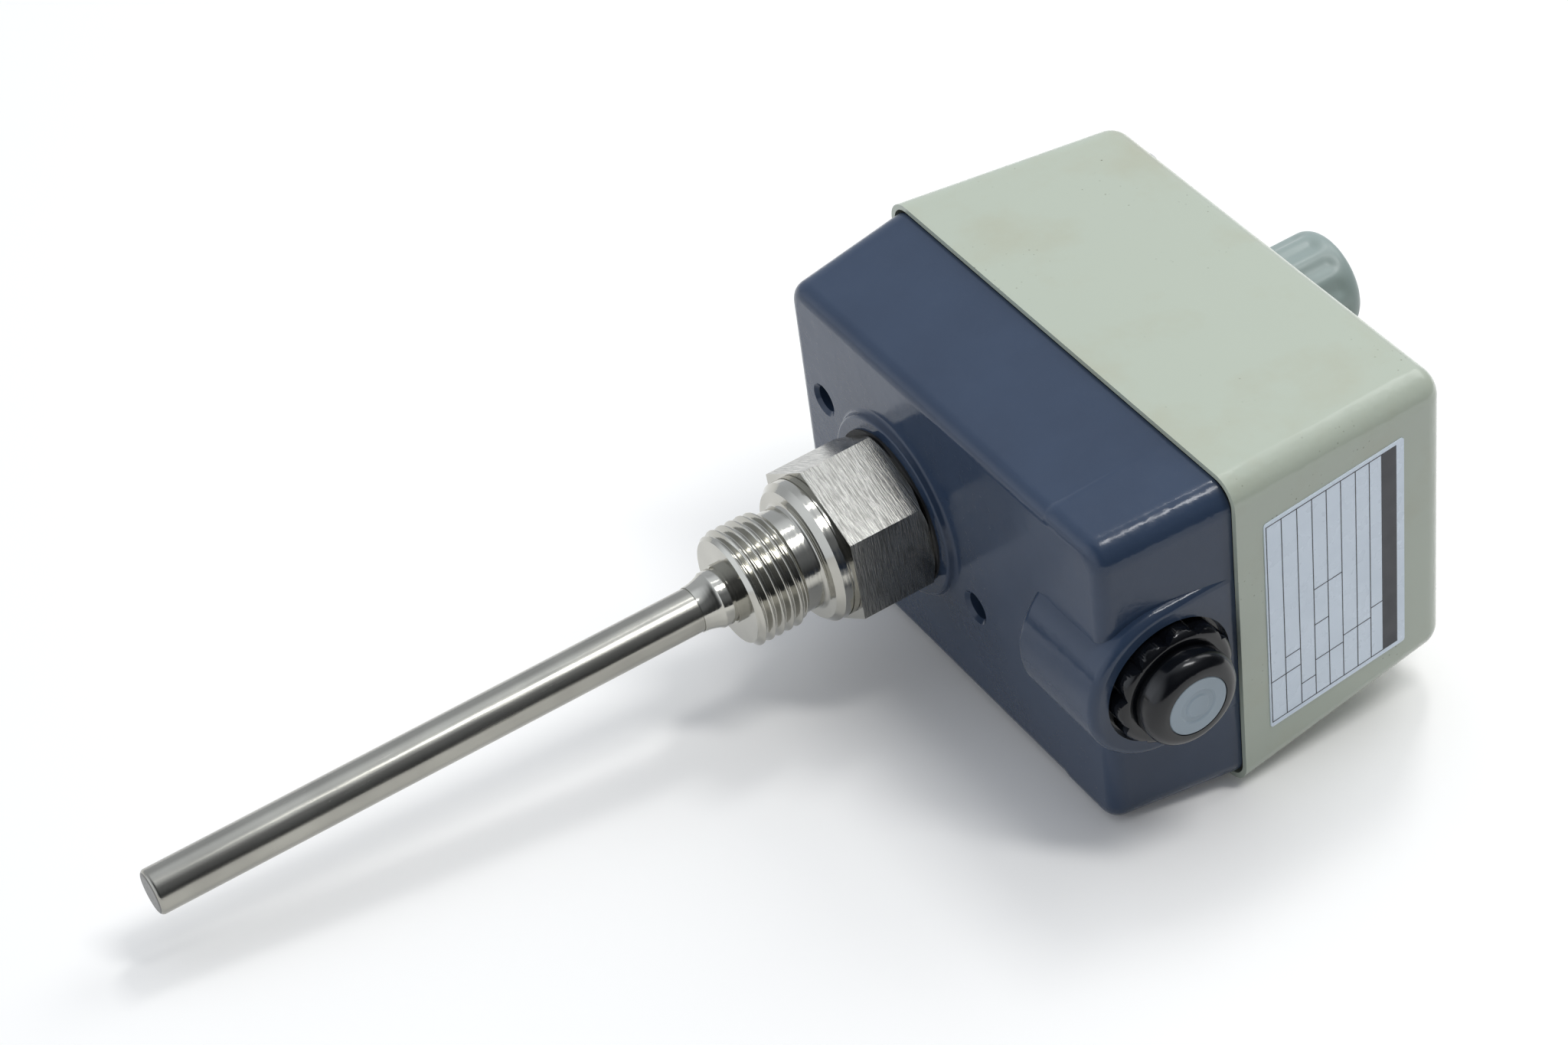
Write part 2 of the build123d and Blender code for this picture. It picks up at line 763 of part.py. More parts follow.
def stop_collar():
    start = stop_collar_x()
    end = start + stop_collar_thickness
    collar = rod_x(stop_collar_diameter, start, end)
    collar += block(start, end, -stop_arm_width / 2, stop_arm_width / 2, 0, stop_arm_reach)
    return collar - rod_x(spindle_diameter + screw_gap, start - 1, end + 1)


def setpoint_spindle():
    flange_top = bridge_x - loose_gap
    flange_x = flange_top - spindle_flange_thickness
    end = knob_x + knob_length - knob_smooth_band - 3
    spindle = rod_x(spindle_thread_diameter, back_x + spindle_thread_end, flange_x)
    spindle = chamfer(spindle.edges().group_by(Axis.X)[0], 0.4)
    spindle += rod_x(spindle_flange_diameter, flange_x, flange_top)
    spindle += rod_x(spindle_diameter, flange_top, end)
    groove = clip_start_x()
    ring = rod_x(spindle_diameter + 1, groove, groove + clip_thickness)
    spindle -= ring - rod_x(clip_groove_diameter, groove - 1, groove + clip_thickness + 1)
    flat = spindle_diameter / 2 - spindle_flat_depth
    wide = spindle_diameter
    return spindle - block(end - spindle_flat_length, end + 1, -wide, wide, flat, wide)


def clip_start_x():
    return bridge_x + bush_height + frame_sheet + loose_gap


def spindle_clip():
    start = clip_start_x()
    ring = rod_x(clip_diameter, start, start + clip_thickness)
    ring -= rod_x(clip_groove_diameter + screw_gap, start - 1, start + clip_thickness + 1)
    mouth = clip_groove_diameter * 0.4
    return ring - block(start - 1, start + clip_thickness + 1, -mouth, mouth, -clip_diameter, 0)


def spindle_bush():
    top = bridge_top_x + bush_height
    bush = rod_x(bush_diameter, bridge_x, top)
    bush += rod_x(bush_flange_diameter, bridge_top_x, bridge_top_x + bush_flange_thickness)
    return bush - rod_x(spindle_diameter + 2 * running_gap, bridge_x - 1, top + 1)


def adjusting_knob():
    end = knob_x + knob_length
    knob = rod_x(knob_diameter, knob_x, end)
    knob = fillet(knob.edges().group_by(Axis.X)[-1], knob_rounding)
    reach = knob_diameter / 2 + knob_flute_radius - knob_flute_depth
    flute_end = end - knob_smooth_band
    for number in range(knob_flute_count):
        angle = radians(360 / knob_flute_count * number)
        knob -= rod_x(2 * knob_flute_radius, knob_x - 1, flute_end, reach * cos(angle), reach * sin(angle))
    hollow = rod_x(knob_diameter - 2 * knob_skirt_wall, knob_x - 1, knob_x + knob_hollow_depth)
    knob -= hollow - rod_x(knob_hub_diameter, knob_x - 1, knob_x + knob_hollow_depth)
    spindle_end = end - knob_smooth_band - 3
    bore = rod_x(spindle_diameter + screw_gap, knob_x - 1, spindle_end + screw_gap)
    flat = spindle_diameter / 2 - spindle_flat_depth + screw_gap / 2
    wide = spindle_diameter
    bore -= block(spindle_end - spindle_flat_length + 1, spindle_end + 1, -wide, wide, flat, wide)
    return knob - bore


def switch_body():
    half = web_spacing / 2
    body = block(switch_x, switch_x + switch_size, switch_from, switch_to, -half, half)
    pocket = switch_button_diameter + 2 * running_gap
    body -= rod_x(pocket, switch_x - 1, switch_x + switch_button_pocket, switch_button_y)
    for height, y in switch_screw_places:
        body -= rod_z(switch_screw_diameter + screw_gap, -half - 1, half + 1, back_x + height, y)
    return body


def switch_button():
    start = lever_top_x + loose_gap
    button = rod_x(switch_button_diameter, start, start + switch_button_length, switch_button_y)
    return fillet(button.edges().group_by(Axis.X)[0], 0.4)


def switch_screws():
    reach = web_spacing / 2 + frame_sheet
    screws = []
    for height, y in switch_screw_places:
        x = back_x + height
        screw = rod_z(switch_screw_diameter, -reach, reach, x, y)
        screw += rod_z(switch_screw_head_diameter, reach, reach + switch_screw_head_height, x, y)
        screws.append(screw)
    return Compound(children=screws)


def switch_tabs():
    tabs = []
    for height, side in zip(tab_heights, tab_sides):
        x = back_x + height
        tabs.append(block(
            x - tab_thickness / 2, x + tab_thickness / 2, switch_from - tab_length, switch_from,
            side - tab_width / 2, side + tab_width / 2,
        ))
    return Compound(children=tabs)


def terminal_sides():
    return [-terminal_pitch, 0.0, terminal_pitch]


def terminal_bottom():
    return floor_x + block_pad_height + block_height - terminal_pocket_depth


def terminal_block():
    bottom = floor_x + block_pad_height
    top = bottom + block_height
    body = block(bottom, top, block_from, block_to, -block_width / 2, block_width / 2)
    body = fillet(body.edges().filter_by(Axis.X), 1)
    middle = (block_from + block_to) / 2
    half_length = terminal_pocket_length / 2
    half_width = terminal_pocket_width / 2
    wire_x = terminal_bottom() + terminal_clamp_height / 2
    for side in terminal_sides():
        body -= block(
            terminal_bottom(), top + 1, middle - half_length, middle + half_length,
            side - half_width, side + half_width,
        )
        body -= rod_y(terminal_wire_bore + 0.4, block_from - 1, block_to + 1, wire_x, side)
    for side in (1, -1):
        place = (middle, side * block_screw_side)
        body -= rod_x(screw_diameter + 2 * screw_gap, bottom - 1, top + 1, *place)
        body -= rod_x(frame_screw_head_diameter + 0.4, bottom + block_foot_thickness, top + 1, *place)
    return body


def terminal_clamps():
    middle = (block_from + block_to) / 2
    half_length = terminal_pocket_length / 2 - loose_gap
    half_width = terminal_pocket_width / 2 - loose_gap
    bottom = terminal_bottom()
    clamps = []
    for side in terminal_sides():
        clamp = block(
            bottom, bottom + terminal_clamp_height, middle - half_length, middle + half_length,
            side - half_width, side + half_width,
        )
        clamp -= rod_y(
            terminal_wire_bore, middle - half_length - 1, middle + half_length + 1,
            bottom + terminal_clamp_height / 2, side,
        )
        for offset in (-terminal_screw_side, terminal_screw_side):
            clamp -= rod_x(
                switch_screw_diameter + screw_gap, bottom + terminal_clamp_height / 2,
                bottom + terminal_clamp_height + 1, middle + offset, side,
            )
        clamps.append(clamp)
    return Compound(children=clamps)


def terminal_screws():
    middle = (block_from + block_to) / 2
    seat = terminal_bottom() + terminal_clamp_height
    length = (terminal_clamp_height - lead_diameter) / 2 - running_gap
    screw = slotted_screw(
        switch_screw_diameter, terminal_screw_head, terminal_screw_head_height, length, seat
    )
    screws = []
    for side in terminal_sides():
        for offset in (-terminal_screw_side, terminal_screw_side):
            screws.append(Pos(0, middle + offset, side) * screw)
    return Compound(children=screws)


def block_screws():
    middle = (block_from + block_to) / 2
    seat = floor_x + block_pad_height + block_foot_thickness
    screw = slotted_screw(
        screw_diameter, frame_screw_head_diameter, frame_screw_head_height, block_screw_length, seat
    )
    return Compound(children=[Pos(0, middle, side * block_screw_side) * screw for side in (1, -1)])


def lead_wires():
    wire_x = terminal_bottom() + terminal_clamp_height / 2
    leads = []
    for height, tab_side, side in zip(tab_heights, tab_sides, terminal_sides()):
        x = back_x + height
        route = [
            (x, switch_from - tab_length, tab_side), (x, lead_drop_y, tab_side),
            (wire_x, lead_drop_y, side), (wire_x, lead_end_y, side),
        ]
        path = FilletPolyline(*route, radius=lead_bend)
        section = Plane(origin=path @ 0, z_dir=path % 0) * Circle(lead_diameter / 2)
        leads.append(sweep(section, path))
    return Compound(children=leads)


def earth_clamp():
    seat = floor_x + earth_pad_height
    half = earth_clamp_size / 2
    y, z = earth_place
    clamp = block(seat, seat + earth_clamp_thickness, y - half, y + half, z - half, z + half)
    return clamp - rod_x(screw_diameter + 2 * screw_gap, seat - 1, seat + 3, y, z)


def earth_screw():
    seat = floor_x + earth_pad_height + earth_clamp_thickness
    screw = slotted_screw(
        screw_diameter, frame_screw_head_diameter, frame_screw_head_height, earth_screw_length, seat
    )
    return Pos(0, *earth_place) * screw


def gland_nut():
    # one moulding: threaded shank, crown of rounded lobes and domed collar
    shank = gland_thread_diameter / 2 - loose_gap
    crown = gland_crown_diameter / 2
    neck = gland_groove_diameter / 2
    collar = gland_collar_diameter / 2
    mouth = gland_disc_diameter / 2 + running_gap
    bore = gland_bore / 2
    ledge = gland_collar_end - gland_disc_thickness
    points = [
        (-gland_shank_length, bore), (-gland_shank_length, shank), (0, shank), (0, neck),
        (gland_collar_start, neck), (gland_collar_start, collar - 0.3), (gland_collar_start + 0.3, collar),
    ]
    for step in range(7):
        angle = radians(15 * step)
        out = gland_collar_end - gland_dome_height * (1 - sin(angle))
        points.append((out, collar - (collar - mouth - 0.3) * (1 - cos(angle))))
    points += [(gland_collar_end, mouth), (ledge, mouth), (ledge, bore)]
    return turned_on_gland(points) + gland_crown(crown, neck)


def gland_crown(crown, inside):
    lobe = gland_lobe_diameter / 2
    top = gland_crown_height
    points = [(0, 0), (0, crown), (top - gland_crown_rounding, crown)]
    for step in range(1, 7):
        angle = radians(15 * step)
        out = top - gland_crown_rounding * (1 - sin(angle))
        points.append((out, crown - gland_crown_rounding * (1 - cos(angle))))
    points += [(top, 0)]
    lobes = rod_y(2 * (crown - lobe), gland_seat_y - top - 1, gland_seat_y, gland_x, 0)
    for number in range(gland_lobe_count):
        angle = radians(gland_lobe_turn + 360 / gland_lobe_count * number)
        lobes += rod_y(
            gland_lobe_diameter, gland_seat_y - top - 1, gland_seat_y,
            gland_x + (crown - lobe) * cos(angle), (crown - lobe) * sin(angle),
        )
    shape = lobes & turned_on_gland(points)
    shape += rod_y(gland_flange_diameter, gland_seat_y - gland_flange_thickness, gland_seat_y, gland_x, 0)
    return shape - rod_y(2 * inside - 0.2, gland_seat_y - top - 1, gland_seat_y + 1, gland_x, 0)


def gland_disc():
    start = gland_collar_end - gland_disc_thickness
    radius = gland_disc_diameter / 2
    return turned_on_gland([
        (start, 0), (start, radius), (gland_collar_end - 0.2, radius), (gland_collar_end, radius - 0.2),
        (gland_collar_end, 3.4), (gland_collar_end - 0.2, 3.1), (gland_collar_end - 0.2, 2.3),
        (gland_collar_end, 2.0), (gland_collar_end, 0),
    ])


def gland_washer():
    start = -gland_shank_length - gland_washer_thickness
    outer = gland_thread_diameter / 2 - loose_gap
    bore = gland_bore / 2
    return turned_on_gland([
        (start, bore), (start, outer), (-gland_shank_length, outer), (-gland_shank_length, bore),
    ])


def gland_seal():
    end = -gland_shank_length - gland_washer_thickness
    start = end - gland_seal_length
    outer = gland_thread_diameter / 2 - loose_gap
    bore = gland_bore / 2 - 0.4
    return turned_on_gland([(start, bore), (start, outer), (end, outer), (end, bore)])


pieces = {
    "immersion_tube": immersion_tube,
    "sensing_bulb": sensing_bulb,
    "capillary_tube": capillary_tube,
    "neck_sleeve": neck_sleeve,
    "process_fitting": process_fitting,
    "fitting_washer": fitting_washer,
    "fitting_nut": fitting_nut,
    "diaphragm_capsule": diaphragm_capsule,
    "base_housing": base_housing,
    "cover_gasket": cover_gasket,
    "cover": cover,
    "rating_label": rating_label,
    "cover_pillars": cover_pillars,
    "cover_screws": cover_screws,
    "mechanism_frame": mechanism_frame,
    "frame_screws": frame_screws,
    "push_pin": push_pin,
    "switch_lever": switch_lever,
    "lever_pin": lever_pin,
    "setpoint_spring": setpoint_spring,
    "spring_seat": spring_seat,
    "stop_pin": stop_pin,
    "setpoint_spindle": setpoint_spindle,
    "spindle_clip": spindle_clip,
    "spindle_bush": spindle_bush,
    "stop_collar": stop_collar,
    "adjusting_knob": adjusting_knob,
    "switch_body": switch_body,
    "switch_button": switch_button,
    "switch_screws": switch_screws,
    "switch_tabs": switch_tabs,
    "terminal_block": terminal_block,
    "terminal_clamps": terminal_clamps,
    "terminal_screws": terminal_screws,
    "block_screws": block_screws,
    "lead_wires": lead_wires,
    "earth_clamp": earth_clamp,
    "earth_screw": earth_screw,
    "gland_nut": gland_nut,
    "gland_disc": gland_disc,
    "gland_washer": gland_washer,
    "gland_seal": gland_seal,
}

for name, make in pieces.items():
    export_step(make(), f"parts/{name}.step")
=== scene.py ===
import bpy
import bmesh
import json
import math
from mathutils import Matrix, Vector


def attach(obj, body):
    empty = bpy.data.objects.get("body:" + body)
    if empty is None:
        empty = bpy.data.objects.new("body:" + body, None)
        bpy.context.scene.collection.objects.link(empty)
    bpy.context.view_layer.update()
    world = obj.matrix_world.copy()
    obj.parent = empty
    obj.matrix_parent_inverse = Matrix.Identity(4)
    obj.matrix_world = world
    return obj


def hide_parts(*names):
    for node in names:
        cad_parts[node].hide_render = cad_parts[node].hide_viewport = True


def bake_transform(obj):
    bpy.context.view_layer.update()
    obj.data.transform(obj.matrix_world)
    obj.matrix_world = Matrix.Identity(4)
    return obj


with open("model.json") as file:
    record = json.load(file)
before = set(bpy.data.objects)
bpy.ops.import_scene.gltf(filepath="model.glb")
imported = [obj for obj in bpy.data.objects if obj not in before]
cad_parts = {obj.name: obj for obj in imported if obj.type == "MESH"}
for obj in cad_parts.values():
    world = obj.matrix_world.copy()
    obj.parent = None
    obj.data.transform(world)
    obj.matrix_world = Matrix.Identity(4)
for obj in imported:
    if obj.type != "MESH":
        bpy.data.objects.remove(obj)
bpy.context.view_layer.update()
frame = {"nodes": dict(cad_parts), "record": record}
scene = bpy.context.scene
mm = 0.001
print("frame loaded")

bodyOf = {}
for bodyName, nodeNames in frame["record"]["behaviour"]["bodies"].items():
    for nodeName in nodeNames:
        bodyOf[nodeName] = bodyName


def makeMaterial(name, color, roughness, metallic=0.0, specular=0.5):
    material = bpy.data.materials.new(name)
    material.use_nodes = True
    nodes = material.node_tree.nodes
    shader = nodes["Principled BSDF"]
    shader.inputs["Base Color"].default_value = (*color, 1)
    shader.inputs["Roughness"].default_value = roughness
    shader.inputs["Metallic"].default_value = metallic
    shader.inputs["Specular IOR Level"].default_value = specular
    return material, nodes, material.node_tree.links, shader


def surfacePoint(nodes, links, stretch=(1, 1, 1)):
    coordinates = nodes.new("ShaderNodeTexCoord")
    mapping = nodes.new("ShaderNodeMapping")
    mapping.inputs["Scale"].default_value = stretch
    links.new(coordinates.outputs["Object"], mapping.inputs["Vector"])
    return mapping.outputs["Vector"]


def ringPoint(nodes, links):
    # a pattern read here makes rings, because it knows only the place along X and the radius
    coordinates = nodes.new("ShaderNodeTexCoord")
    parts = nodes.new("ShaderNodeSeparateXYZ")
    links.new(coordinates.outputs["Object"], parts.inputs[0])
    across = nodes.new("ShaderNodeCombineXYZ")
    links.new(parts.outputs["Y"], across.inputs["Y"])
    links.new(parts.outputs["Z"], across.inputs["Z"])
    radius = nodes.new("ShaderNodeVectorMath")
    radius.operation = "LENGTH"
    links.new(across.outputs[0], radius.inputs[0])
    ring = nodes.new("ShaderNodeCombineXYZ")
    links.new(parts.outputs["X"], ring.inputs["X"])
    links.new(radius.outputs["Value"], ring.inputs["Y"])
    return ring.outputs[0]


def noiseAt(nodes, links, point, scale, detail, rough=0.5):
    noise = nodes.new("ShaderNodeTexNoise")
    noise.inputs["Scale"].default_value = scale
    noise.inputs["Detail"].default_value = detail
    noise.inputs["Roughness"].default_value = rough
    links.new(point, noise.inputs["Vector"])
    return noise.outputs["Fac"]


def spreadOf(nodes, links, value, span, toLow=0.0, toHigh=1.0):
    # the part of value inside span is stretched to run from toLow to toHigh
    spread = nodes.new("ShaderNodeMapRange")
    spread.inputs["From Min"].default_value = span[0]
    spread.inputs["From Max"].default_value = span[1]
    spread.inputs["To Min"].default_value = toLow
    spread.inputs["To Max"].default_value = toHigh
    links.new(value, spread.inputs["Value"])
    return spread.outputs["Result"]


def blendColors(nodes, links, factor, first, second):
    mix = nodes.new("ShaderNodeMix")
    mix.data_type = "RGBA"
    links.new(factor, mix.inputs[0])
    for socket, color in ((mix.inputs[6], first), (mix.inputs[7], second)):
        if isinstance(color, tuple):
            socket.default_value = (*color, 1)
        else:
            links.new(color, socket)
    return mix.outputs[2]


def combined(nodes, links, operation, first, second):
    result = nodes.new("ShaderNodeMath")
    result.operation = operation
    links.new(first, result.inputs[0])
    links.new(second, result.inputs[1])
    return result.outputs[0]


def glossFrom(nodes, links, shader, pattern, low, high):
    middle = (0.3, 0.7)  # a noise hardly leaves this span
    links.new(spreadOf(nodes, links, pattern, middle, low, high), shader.inputs["Roughness"])


def bumpFrom(nodes, links, shader, pattern, strength, height, before=None):
    bump = nodes.new("ShaderNodeBump")
    bump.inputs["Strength"].default_value = strength
    bump.inputs["Distance"].default_value = height
    links.new(pattern, bump.inputs["Height"])
    if before is not None:
        links.new(before, bump.inputs["Normal"])
    links.new(bump.outputs["Normal"], shader.inputs["Normal"])
    return bump.outputs["Normal"]


def castPaint():
    look = {
        "color": (0.034, 0.055, 0.098), "roughness": 0.15, "specular": 0.36,
        "dark": (0.029, 0.047, 0.085), "cloud": (60, 5), "cloudSpan": (0.35, 0.7),
        "gloss": (400, 3), "glossFromTo": (0.11, 0.23),
        "lumps": (150, 2), "lumpStrength": 0.14, "lumpHeight": 0.0004,
        "peel": (900, 2), "peelStrength": 0.16, "peelHeight": 0.00018,
    }  # each pattern is a noise with its scale and detail
    material, nodes, links, shader = makeMaterial(
        "castPaint", look["color"], look["roughness"], specular=look["specular"])
    point = surfacePoint(nodes, links)
    cloud = spreadOf(nodes, links, noiseAt(nodes, links, point, *look["cloud"]), look["cloudSpan"])
    links.new(blendColors(nodes, links, cloud, look["color"], look["dark"]), shader.inputs["Base Color"])
    glossFrom(nodes, links, shader, noiseAt(nodes, links, point, *look["gloss"]), *look["glossFromTo"])
    lumps = bumpFrom(nodes, links, shader, noiseAt(nodes, links, point, *look["lumps"]),
                     look["lumpStrength"], look["lumpHeight"])
    bumpFrom(nodes, links, shader, noiseAt(nodes, links, point, *look["peel"]),
             look["peelStrength"], look["peelHeight"], lumps)
    return material


def coverPaint():
    look = {
        "color": (0.465, 0.51, 0.42), "roughness": 0.15, "specular": 0.50,
        "stain": (0.42, 0.40, 0.28), "stains": (34, 7, 0.62), "stainSpan": (0.50, 0.76), "stainMost": 0.55,
        "speck": (0.13, 0.12, 0.08), "speckScale": 700, "speckSpan": (0.08, 0.15), "speckMost": 0.7,
        "patches": (75, 3), "patchSpan": (0.54, 0.66),
        "gloss": (160, 4), "glossFromTo": (0.11, 0.20),
        "waves": (420, 2), "waveStrength": 0.09, "waveHeight": 0.00008,
    }
    material, nodes, links, shader = makeMaterial(
        "coverPaint", look["color"], look["roughness"], specular=look["specular"])
    point = surfacePoint(nodes, links)
    stains = noiseAt(nodes, links, point, *look["stains"])
    stain = spreadOf(nodes, links, stains, look["stainSpan"], 0, look["stainMost"])
    stained = blendColors(nodes, links, stain, look["color"], look["stain"])
    cells = nodes.new("ShaderNodeTexVoronoi")
    cells.inputs["Scale"].default_value = look["speckScale"]
    links.new(point, cells.inputs["Vector"])
    dot = spreadOf(nodes, links, cells.outputs["Distance"], look["speckSpan"], look["speckMost"], 0)
    patch = spreadOf(nodes, links, noiseAt(nodes, links, point, *look["patches"]), look["patchSpan"])
    speck = combined(nodes, links, "MULTIPLY", dot, patch)
    links.new(blendColors(nodes, links, speck, stained, look["speck"]), shader.inputs["Base Color"])
    glossFrom(nodes, links, shader, noiseAt(nodes, links, point, *look["gloss"]), *look["glossFromTo"])
    bumpFrom(nodes, links, shader, noiseAt(nodes, links, point, *look["waves"]),
             look["waveStrength"], look["waveHeight"])
    return material


metalLooks = {
    # a metal with a stretch has straight lines, and one without it has turned rings
    "drawnSteel": {"color": (0.40, 0.39, 0.35), "roughness": 0.22, "scale": 60, "strength": 0.25,
                   "stretch": (1, 26, 26)},
    "turnedSteel": {"color": (0.50, 0.49, 0.445), "roughness": 0.12, "scale": 2600, "strength": 0.22},
    "milledSteel": {"color": (0.42, 0.415, 0.385), "roughness": 0.22, "scale": 90, "strength": 0.5,
                    "stretch": (50, 3.2, 3.2), "marks": (0.17, 0.168, 0.155)},
    # painted shade and painted dark reflection: a darkened metal for the tube's end face
    "tipShadeSteel": {"color": (0.17, 0.17, 0.165), "roughness": 0.38, "scale": 1500, "strength": 0.6},
    "platedSteel": {"color": (0.62, 0.63, 0.64), "roughness": 0.28, "scale": 60, "strength": 0.2,
                    "stretch": (4, 4, 4)},
    "springSteel": {"color": (0.38, 0.38, 0.39), "roughness": 0.30, "scale": 60, "strength": 0.2,
                    "stretch": (4, 4, 4)},
    "brassParts": {"color": (0.72, 0.53, 0.25), "roughness": 0.26, "scale": 60, "strength": 0.3,
                   "stretch": (20, 4, 4)},
    "copperParts": {"color": (0.72, 0.38, 0.22), "roughness": 0.28, "scale": 60, "strength": 0.2,
                    "stretch": (4, 20, 20)},
}


def metal(name, look):
    grain = {"detail": 4, "rough": 0.6, "spread": 0.06, "height": 0.00005, "markSpan": (0.42, 0.62),
             "cloud": (90, 5), "cloudSpan": (0.3, 0.75), "cloudDark": 0.80}
    roughness = look["roughness"]
    material, nodes, links, shader = makeMaterial(name, look["color"], roughness, metallic=1.0)
    if "stretch" in look:
        point = surfacePoint(nodes, links, look["stretch"])
    else:
        point = ringPoint(nodes, links)
    lines = noiseAt(nodes, links, point, look["scale"], grain["detail"], grain["rough"])
    glossFrom(nodes, links, shader, lines, roughness - grain["spread"], roughness + grain["spread"])
    broad = noiseAt(nodes, links, surfacePoint(nodes, links), *grain["cloud"])
    cloud = spreadOf(nodes, links, broad, grain["cloudSpan"])
    darker = tuple(part * grain["cloudDark"] for part in look["color"])
    tint = blendColors(nodes, links, cloud, look["color"], darker)
    if "marks" in look:  # the darker lines that a cutter leaves
        cuts = spreadOf(nodes, links, lines, grain["markSpan"])
        tint = blendColors(nodes, links, cuts, tint, look["marks"])
    links.new(tint, shader.inputs["Base Color"])
    bumpFrom(nodes, links, shader, lines, look["strength"], grain["height"])
    return material


mouldingLooks = {
    "blackMoulding": {"color": (0.003, 0.0035, 0.005), "dust": (0.007, 0.008, 0.010), "roughness": 0.15,
                      "specular": 0.42},
    "knobMoulding": {"color": (0.30, 0.365, 0.345), "dust": (0.27, 0.33, 0.31), "roughness": 0.36},
    "discMoulding": {"color": (0.34, 0.41, 0.46), "dust": (0.31, 0.37, 0.41), "roughness": 0.42},
    "whiteMoulding": {"color": (0.72, 0.72, 0.69), "dust": (0.6336, 0.6336, 0.6072), "roughness": 0.45},
    "sealRubber": {"color": (0.018, 0.018, 0.018), "dust": (0.03, 0.03, 0.03), "roughness": 0.6},
    "wireSleeve": {"color": (0.06, 0.07, 0.09), "dust": (0.0528, 0.0616, 0.0792), "roughness": 0.45},
    "labelFilm": {"color": (0.80, 0.89, 0.98), "dust": (0.75, 0.84, 0.93), "roughness": 0.28},
    "labelInk": {"color": (0.016, 0.018, 0.026), "dust": (0.022, 0.024, 0.034), "roughness": 0.40},
}


def moulding(name, look):
    skin = {"cloud": (110, 5), "cloudSpan": (0.45, 0.75), "gloss": (240, 3), "glossShares": (0.85, 1.2),
            "grain": (900, 2), "strength": 0.12, "height": 0.00005}
    material, nodes, links, shader = makeMaterial(
        name, look["color"], look["roughness"], specular=look.get("specular", 0.5))
    point = surfacePoint(nodes, links)
    cloud = spreadOf(nodes, links, noiseAt(nodes, links, point, *skin["cloud"]), skin["cloudSpan"])
    links.new(blendColors(nodes, links, cloud, look["color"], look["dust"]), shader.inputs["Base Color"])
    low, high = (look["roughness"] * share for share in skin["glossShares"])
    glossFrom(nodes, links, shader, noiseAt(nodes, links, point, *skin["gloss"]), low, high)
    grain = noiseAt(nodes, links, point, *skin["grain"])
    bumpFrom(nodes, links, shader, grain, skin["strength"], skin["height"])
    return material


finishes = {"castPaint": castPaint(), "coverPaint": coverPaint()}
for finishName, look in metalLooks.items():
    finishes[finishName] = metal(finishName, look)
for finishName, look in mouldingLooks.items():
    finishes[finishName] = moulding(finishName, look)
print("materials made")

finishOf = {
    "immersion_tube": "drawnSteel", "sensing_bulb": "copperParts", "capillary_tube": "copperParts",
    "neck_sleeve": "turnedSteel", "process_fitting": "milledSteel", "fitting_washer": "sealRubber",
    "fitting_nut": "platedSteel", "diaphragm_capsule": "copperParts", "base_housing": "castPaint",
    "cover_gasket": "sealRubber", "cover": "coverPaint", "rating_label": "labelFilm",
    "cover_pillars": "platedSteel", "cover_screws": "platedSteel", "mechanism_frame": "platedSteel",
    "frame_screws": "platedSteel", "push_pin": "brassParts", "switch_lever": "platedSteel",
    "lever_pin": "platedSteel", "setpoint_spring": "springSteel", "spring_seat": "brassParts",
    "stop_pin": "platedSteel", "setpoint_spindle": "brassParts", "spindle_clip": "springSteel",
    "spindle_bush": "brassParts", "stop_collar": "brassParts", "adjusting_knob": "knobMoulding",
    "switch_body": "blackMoulding", "switch_button": "whiteMoulding", "switch_screws": "platedSteel",
    "switch_tabs": "brassParts", "terminal_block": "blackMoulding", "terminal_clamps": "brassParts",
    "terminal_screws": "platedSteel", "block_screws": "platedSteel", "lead_wires": "wireSleeve",
    "earth_clamp": "brassParts", "earth_screw": "platedSteel", "gland_nut": "blackMoulding",
    "gland_disc": "discMoulding", "gland_washer": "platedSteel", "gland_seal": "sealRubber",
}


def finishPiece(name, build, finish, body, nodes=(), sharp=30):
    # sharp is the angle, in degrees, from which an edge stays crisp
    mesh = bpy.data.meshes.new(name)
    for face in build.faces:
        face.smooth = True
    for edge in build.edges:
        edge.smooth = len(edge.link_faces) == 2 and edge.calc_face_angle(0) < math.radians(sharp)
    build.to_mesh(mesh)
    build.free()
    mesh.materials.append(finishes[finish])
    piece = bpy.data.objects.new(name, mesh)
    scene.collection.objects.link(piece)
    weighted = piece.modifiers.new("weightedNormals", "WEIGHTED_NORMAL")
    weighted.keep_sharp = True
    if body:
        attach(piece, body)
    if nodes:
        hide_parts(*nodes)
    return piece


def copyOfNode(nodeName):
    build = bmesh.new()
    build.from_mesh(frame["nodes"][nodeName].data)
    bmesh.ops.remove_doubles(build, verts=build.verts, dist=1e-6)
    return build


def smoothNode(nodeName, name):
    return finishPiece(name, copyOfNode(nodeName), finishOf[nodeName], bodyOf[nodeName], [nodeName])


def secondFinish(piece, finish, wanted):
    # the faces that wanted picks get another finish
    piece.data.materials.append(finishes[finish])
    for face in piece.data.polygons:
        if wanted(face):
            face.material_index = 1


def spinProfile(build, points, steps):
    # points are (x, radius) in mm, turned once round the X axis
    vertices = [build.verts.new((x * mm, 0, radius * mm)) for x, radius in points]
    edges = [build.edges.new(pair) for pair in zip(vertices, vertices[1:])]
    bmesh.ops.spin(build, geom=vertices + edges, cent=(0, 0, 0), axis=(1, 0, 0),
                   angle=2 * math.pi, steps=steps, use_merge=True)
    bmesh.ops.remove_doubles(build, verts=build.verts, dist=1e-7)
    bmesh.ops.recalc_face_normals(build, faces=build.faces)


